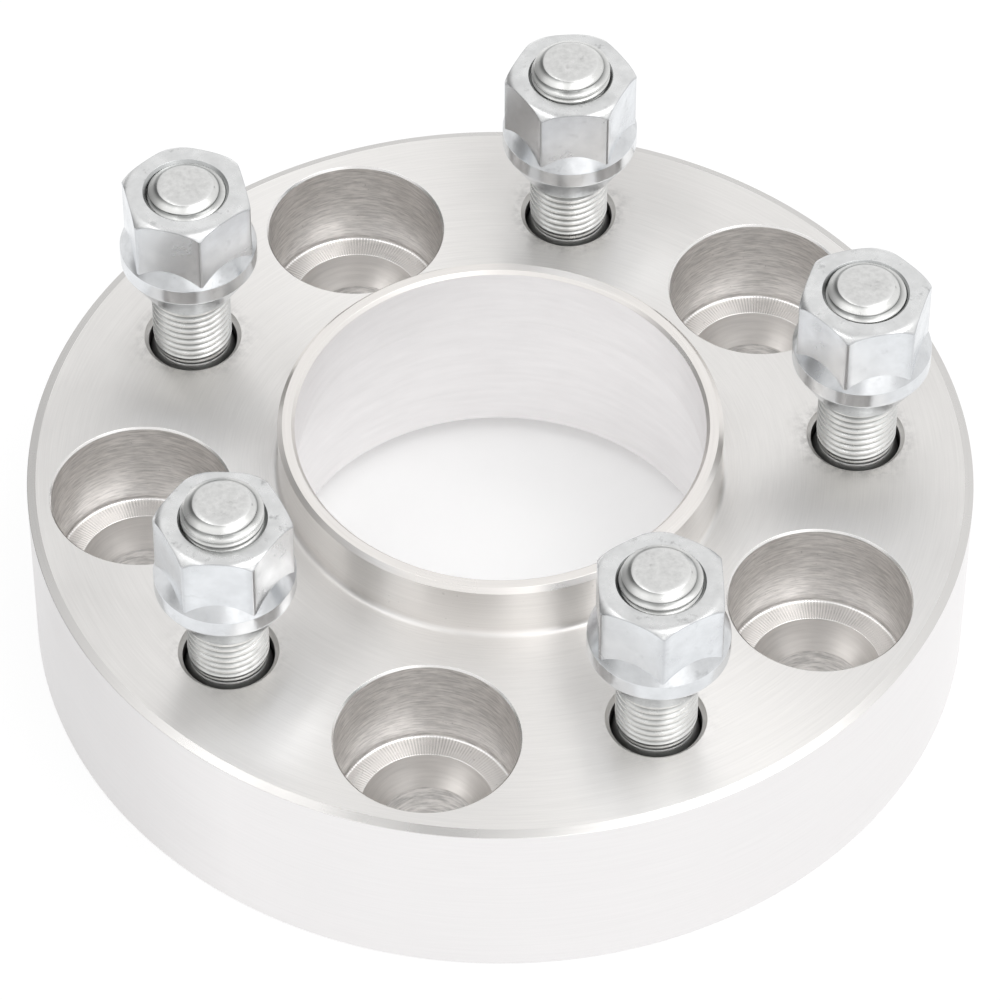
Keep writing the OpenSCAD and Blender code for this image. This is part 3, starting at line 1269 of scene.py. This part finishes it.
@dataclass
class LugNut:
    """One open-ended bulge nut: conical seat, flange, flare, hexagon with a rounded shoulder, and bore.

    lift is how far its nose stands above the wheel face, and turn the angle of its first corner in degrees.
    The rows are shares of the way up the flare, the hexagon's wall and the shoulder's arc at which they
    have points. edge_deg is how far wear reaches from a corner, and the wears are its strength on the
    flare, along the wall's corners, on the ridge at the wall's top and just above that ridge.
    """

    number: int
    lift: float
    turn: float
    flat_r: float = 9.35
    corner_round: float = 0.7
    corner_steps: int = 6
    flat_steps: int = 14
    top: float = 14.75
    shoulder: float = 2.3
    flange_r: float = 10.946
    flange_h: float = 2.8
    flare_h: float = 2.5
    flare_stub: float = 1.0
    nose_r: float = 7.4
    nose_sink_r: float = 6.9
    seat_angle: float = 60.0
    seat_soft: tuple[float, ...] = (0.05, 0.1, 0.45, 0.25)
    sink_r: float = 6.85
    sink_soft: float = 0.15
    bore_r: float = 6.41
    groove: float = 0.5
    groove_runout: float = 0.6
    flare_rows: tuple[float, ...] = (0.5, 0.97, 1.0)
    wall_rows: tuple[float, ...] = (0.03, 0.25, 0.5, 0.75, 0.97)
    shoulder_rows: tuple[float, ...] = (0.2, 0.4, 0.6, 0.8, 1.0)
    ridge_row: float = 0.06
    edge_deg: float = 2.2
    flare_wear: float = 0.2
    wall_wear: float = 0.5
    ridge_wear: float = 0.8
    above_wear: float = 0.5

    def columns(self) -> Floats:
        """Angles round the nut, close together at the six corners.

        Returns:
            The angles in radians, from a corner and closed.
        """
        half = self.corner_half()
        corner = np.linspace(-half, half, self.corner_steps + 1)[:-1]
        flat = np.linspace(half, HEX_STEP - half, self.flat_steps + 1)[:-1]
        side = np.concatenate([corner, flat])
        angles = (side + HEX_STEP * np.arange(HEX_SIDES)[:, None]).ravel()
        return np.concatenate([angles, angles[:1] + FULL_TURN])

    def corner_centre(self) -> float:
        """Distance from the axis to the centre of a corner's rounding."""
        return (self.flat_r - self.corner_round) / math.cos(HEX_HALF)

    def corner_half(self) -> float:
        """Half the angle that a corner's rounding takes up."""
        q = self.corner_round
        return math.atan2(q * math.sin(HEX_HALF), self.corner_centre() + q * math.cos(HEX_HALF))

    @staticmethod
    def from_corner(angles: Floats) -> Floats:
        """Angles to the nearest corner."""
        return np.abs((angles + HEX_HALF) % HEX_STEP - HEX_HALF)

    def hexagon(self, angles: Floats) -> Floats:
        """Radius of the rounded hexagon: flat / cos(angle from the flat), and a circle at each corner.

        Args:
            angles: Angles from a corner.

        Returns:
            The radius at each of them.
        """
        off, far, q = self.from_corner(angles), self.corner_centre(), self.corner_round
        circle = far * np.cos(off) + np.sqrt(np.maximum(q * q - (far * np.sin(off)) ** 2, 0.0))
        flat = self.flat_r / np.cos(HEX_HALF - off)
        return np.where(off < self.corner_half(), circle, flat)

    def nose_h(self) -> float:
        """Height of the conical seat under the flange."""
        return (self.flange_r - self.nose_r) / math.tan(math.radians(self.seat_angle / 2.0))

    def bore_ends(self) -> Pair:
        """Heights of the bore's two ends, inside its countersinks."""
        return self.nose_sink_r - self.bore_r - self.nose_h(), self.top - (self.sink_r - self.bore_r)

    def build(self, form: ThreadForm, materials: Sequence[Material]) -> bpy.types.Object:
        """Makes the nut and lets it stand for its CAD node.

        The bore's radius is bore + groove * sink(phase), faded out at both of its ends, and the grooves'
        depth paints shade into them.

        Args:
            form: The thread's form.
            materials: One material for each zone.

        Returns:
            The nut's object.
        """
        skin = Skin(f"bulge_nut_{self.number}")
        centre, seat_z = stud_axis(self.number), WHEEL_FACE + self.lift + self.nose_h()
        angles = self.columns()
        bearings = angles + math.radians(self.turn)
        r, z, zones, worn = self.outside(angles)
        steps = np.hypot(np.diff(r, axis=0), np.diff(z, axis=0))
        along = np.concatenate([np.zeros((1, len(angles))), np.cumsum(steps, axis=0)])
        skin.add(around(r, z + seat_z, bearings, centre), turn_uv(along, bearings), zones, worn)
        low, high = self.bore_ends()
        z, phase = (rows[::-1] for rows in form.rows(low, high, bearings))
        depth = form.sink(phase) * np.clip(np.minimum(z - low, high - z) / self.groove_runout, 0.0, 1.0)
        bore = around(self.bore_r + self.groove * depth, z + seat_z, bearings, centre)
        # The groove depth also paints shade into the bore's grooves
        skin.add(bore, turn_uv(z, bearings), NutZone.INSIDE, depth)
        piece = skin.build(materials)
        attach(piece, f"nut_{self.number}")
        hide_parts(f"lug_nut_{self.number}")
        return piece

    def outside(self, angles: Floats) -> tuple[Floats, Floats, Floats, Floats]:
        """Rows of the nut's outside, from the bore's lower end round to its upper end.

        The flare meets the hexagon where its cone has the hexagon's radius, and the shoulder's arc of
        radius q meets it where q * cos(arc angle) does, so each row follows those two curves round the nut.

        Args:
            angles: The columns' angles from a corner of the hexagon.

        Returns:
            Radii and heights (rows by columns), the zone of each interval, and the wear at each point.
        """
        hexagon, same = self.hexagon(angles), np.ones_like(angles)
        low, high = self.bore_ends()
        slope = (self.flange_r - self.flat_r) / self.flare_h
        shoulder_r, shoulder_z = self.flange_r - self.shoulder, self.top - self.shoulder
        seat, seat_runs = rounded(
            [(self.bore_r, low), (self.nose_sink_r, -self.nose_h()), (self.nose_r, -self.nose_h()),
             (self.flange_r, 0.0), (self.flange_r, self.flange_h),
             (self.flange_r - slope * self.flare_stub, self.flange_h + self.flare_stub)], self.seat_soft)
        seat, seat_runs = seat[:-STUB_POINTS], seat_runs[:-STUB_POINTS]
        seat_zones = [NutZone.INSIDE, *np.where(seat_runs < 1, NutZone.INSIDE, NutZone.FLANGE)]
        mouth, mouth_runs = rounded([(shoulder_r, self.top), (self.sink_r, self.top), (self.bore_r, high)],
                                    [self.sink_soft])
        flare_top = self.flange_h + (self.flange_r - hexagon) / slope
        arc = np.arccos(np.clip((hexagon - shoulder_r) / self.shoulder, -1.0, 1.0))
        wall_top = shoulder_z + self.shoulder * np.sin(arc)
        edge = np.exp(-(self.from_corner(angles) / math.radians(self.edge_deg)) ** 2)

        def on_shoulder(share: float, wear: float) -> tuple[Floats, Floats, int, Floats]:
            """The row at a share of the way up the shoulder's arc, with that wear."""
            swing = arc + (math.pi / 2.0 - arc) * share
            return (shoulder_r + self.shoulder * np.cos(swing), shoulder_z + self.shoulder * np.sin(swing),
                    NutZone.TOP, wear * same)

        rows = [(r * same, z * same, zone, 0.0 * same) for (r, z), zone in zip(seat, seat_zones)]
        start_r, start_z = seat[-1]
        for share in self.flare_rows:
            rows.append((start_r + (hexagon - start_r) * share, start_z + (flare_top - start_z) * share,
                         NutZone.FLARE, self.flare_wear * edge))
        for share in self.wall_rows:
            rows.append((hexagon, flare_top + (wall_top - flare_top) * share, NutZone.HEXAGON,
                         self.wall_wear * edge))
        rows.append((hexagon, wall_top, NutZone.HEXAGON, self.ridge_wear * same))
        rows.append(on_shoulder(self.ridge_row, self.above_wear))
        rows.extend(on_shoulder(share, 0.0) for share in self.shoulder_rows)
        for (r, z), run in zip(mouth[1:], mouth_runs):
            rows.append((r * same, z * same, NutZone.TOP if run == 0 else NutZone.INSIDE, 0.0 * same))
        radii, heights, zones, worn = (np.array(column) for column in zip(*rows))
        return radii, heights, zones[1:], worn


@dataclass(frozen=True)
class Viewpoint:
    """The camera, as fitted to the circles of the ring.

    Its distance is counted from the middle of the wheel face in millimetres, its angles are in degrees, and
    near and far, in metres, are the ends of what it sees.
    """

    focal_px: float = 5978.04
    image_px: float = 1000.0
    sensor: float = 36.0
    distance: float = 950.52
    elevation: float = 48.215
    yaw: float = 0.0014
    pitch: float = -0.338
    roll: float = -0.329
    near: float = 0.05
    far: float = 50.0

    def place(self) -> None:
        """Makes the camera, which looks at the wheel face's middle and is then trimmed, for the scene."""
        tilt = math.radians(self.elevation)
        c, s = math.cos(tilt), math.sin(tilt)
        axes = Matrix(((1.0, 0.0, 0.0), (0.0, s, c), (0.0, c, -s)))
        trim = Matrix.Identity(3)
        for angle, axis in ((self.roll, "Z"), (self.pitch, "X"), (self.yaw, "Y")):
            trim = trim @ Matrix.Rotation(math.radians(angle), 3, axis)
        swing = Matrix.Rotation(math.radians(CAMERA_SWING), 3, "Z")
        right, up, ahead = (swing @ row for row in (trim @ axes))
        turned = Matrix((right, up, -ahead)).transposed().to_4x4()
        spot = swing @ (axes[2] * -self.distance)
        spot.z += WHEEL_FACE
        data = bpy.data.cameras.new("camera")
        data.sensor_width = self.sensor
        data.lens = self.sensor * self.focal_px / self.image_px
        data.clip_start, data.clip_end = self.near, self.far
        camera = bpy.data.objects.new("camera", data)
        camera.matrix_world = Matrix.Translation(spot * MM) @ turned
        bpy.context.scene.collection.objects.link(camera)
        bpy.context.scene.camera = camera


@dataclass(frozen=True)
class Softbox:
    """An oblong studio light that looks at the ring, with its distance and sides in metres."""

    name: str
    azimuth: float
    elevation: float
    distance: float
    width: float
    height: float
    power: float

    def place(self) -> None:
        """Hangs the light at its bearing from the ring's centre."""
        back = toward(self.azimuth, self.elevation)
        data = bpy.data.lights.new(self.name, "AREA")
        data.shape = "RECTANGLE"
        data.size, data.size_y = self.width, self.height
        data.energy = self.power
        light = bpy.data.objects.new(self.name, data)
        light.location = back * self.distance
        light.rotation_mode = "QUATERNION"
        light.rotation_quaternion = back.to_track_quat("Z", "Y")
        bpy.context.scene.collection.objects.link(light)


@dataclass(frozen=True)
class SkyCard:
    """A round card in the surrounding light, which brightens it, or darkens it at a strength below 0.

    It is whole up to full_deg from its middle and gone at none_deg.
    """

    name: str
    azimuth: float
    elevation: float
    full_deg: float
    none_deg: float
    strength: float


@dataclass
class Studio:
    """A white sweep under soft light from all round, with two softboxes overhead and cards about the ring.

    Bearings are counted from the camera's right. The floor's measures are in metres, and the part of it
    under the ring, out to under_r, has a colour and a glow of its own. sky is the surrounding light's
    strength, and sky_lean how fast it grows to the right, to the back and upwards.
    """

    floor_r: float = 6.0
    floor_z: float = -0.00005
    floor_rows: tuple[float, ...] = (1.0, 0.1, 0.0)
    floor_columns: int = 96
    floor_colour: float = 0.17
    floor_glow: float = 0.85
    floor_rough: float = 0.9
    under_r: float = 0.0745
    under_fade: float = 0.001
    under_colour: float = 0.90
    under_glow: float = 0.18
    sky: float = 1.105
    sky_lean: Colour = (0.05, 0.0, 0.12)
    boxes: tuple[Softbox, ...] = (
        Softbox("right_box", -28.0, 66.0, 1.5, 1.1, 0.70, 4.9),
        Softbox("left_box", 190.0, 69.5, 1.5, 1.1, 0.24, 1.2),
    )
    cards: tuple[SkyCard, ...] = (
        SkyCard("left_flag", 160.0, 4.0, 18.0, 50.0, -0.75),
        SkyCard("left_strip", 188.0, 54.0, 8.0, 22.0, 0.35),
        SkyCard("overhead_gap", 160.0, 83.5, 5.0, 10.0, -0.45),
        SkyCard("overhead_net", 0.0, 90.0, 12.0, 40.0, -0.24),
        SkyCard("front_card", -64.0, 18.0, 12.0, 32.0, 0.7),
    )

    def build(self) -> None:
        """Makes the floor, the surrounding light and the softboxes, and sets how colours are shown."""
        self.build_floor()
        self.build_sky()
        for box in self.boxes:
            box.place()
        settings = bpy.context.scene.view_settings
        settings.view_transform = "Standard"
        settings.look = "None"

    def build_floor(self) -> None:
        """A flat disc just under the ring, which glows most outside the ring's own footprint."""
        skin = Skin("studio_floor")
        bearings = np.linspace(0.0, FULL_TURN, self.floor_columns + 1)
        profile = np.array([(self.floor_r * share, self.floor_z) for share in self.floor_rows]) / MM
        skin.add_turned(profile, bearings, 0)
        sketch = SurfaceSketch("white_sweep")
        shader = sketch.shader
        away = sketch.vector_math("LENGTH", sketch.place())
        outside = sketch.mapped(away, (self.under_r, self.under_r + self.under_fade), (0.0, 1.0))
        colour = sketch.shade(outside, (self.under_colour,) * 3, (self.floor_colour,) * 3)
        glow = sketch.mapped(outside, (0.0, 1.0), (self.under_glow, self.floor_glow))
        sketch.put(shader.inputs["Base Color"], colour)
        sketch.put(shader.inputs["Emission Strength"], glow)
        shader.inputs["Emission Color"].default_value = (1.0, 1.0, 1.0, 1.0)
        shader.inputs["Roughness"].default_value = self.floor_rough
        shader.inputs["Specular IOR Level"].default_value = 0.0
        skin.build([sketch.material])

    def build_sky(self) -> None:
        """Surrounding light: sky + lean . direction + each card's strength * its smooth step."""
        world = bpy.data.worlds.new("studio")
        world.use_nodes = True
        bpy.context.scene.world = world
        sketch = NodeSketch(world.node_tree)
        where = sketch.node("ShaderNodeTexCoord").outputs["Generated"]
        lean = Matrix.Rotation(math.radians(CAMERA_SWING), 3, "Z") @ Vector(self.sky_lean)
        level = sketch.math("ADD", sketch.vector_math("DOT_PRODUCT", where, lean), self.sky)
        for card in self.cards:
            near = sketch.vector_math("DOT_PRODUCT", where, toward(card.azimuth, card.elevation))
            span = (math.cos(math.radians(card.none_deg)), math.cos(math.radians(card.full_deg)))
            level = sketch.math("ADD", level, sketch.mapped(near, span, (0.0, card.strength), smooth=True))
        light = sketch.node("ShaderNodeBackground")
        sketch.put(light.inputs["Strength"], level)
        sketch.put(sketch.node("ShaderNodeOutputWorld").inputs["Surface"], light.outputs[0])


def main() -> None:
    """Builds the ring, its studs and nuts and the studio."""
    logging.basicConfig(level=logging.INFO, format="%(name)s: %(message)s")
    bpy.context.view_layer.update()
    Viewpoint().place()
    form = ThreadForm()
    ring_metal = [RING_FINISHES[zone].material() for zone in RingZone]
    stud_metal = [STUD_FINISHES[zone].material() for zone in StudZone]
    nut_metal = [NUT_FINISHES[zone].material() for zone in NutZone]
    pieces = [Ring().build(ring_metal)]
    for number, lift, turn in zip(range(1, LUGS + 1), NUT_LIFT, NUT_TURN):
        pieces.append(WheelStud(number).build(form, stud_metal))
        pieces.append(LugNut(number, lift, turn).build(form, nut_metal))
    for piece in pieces:
        LOG.info("%s: %d faces", piece.name, len(piece.data.polygons))
    Studio().build()


if __name__ == "__main__":
    main()
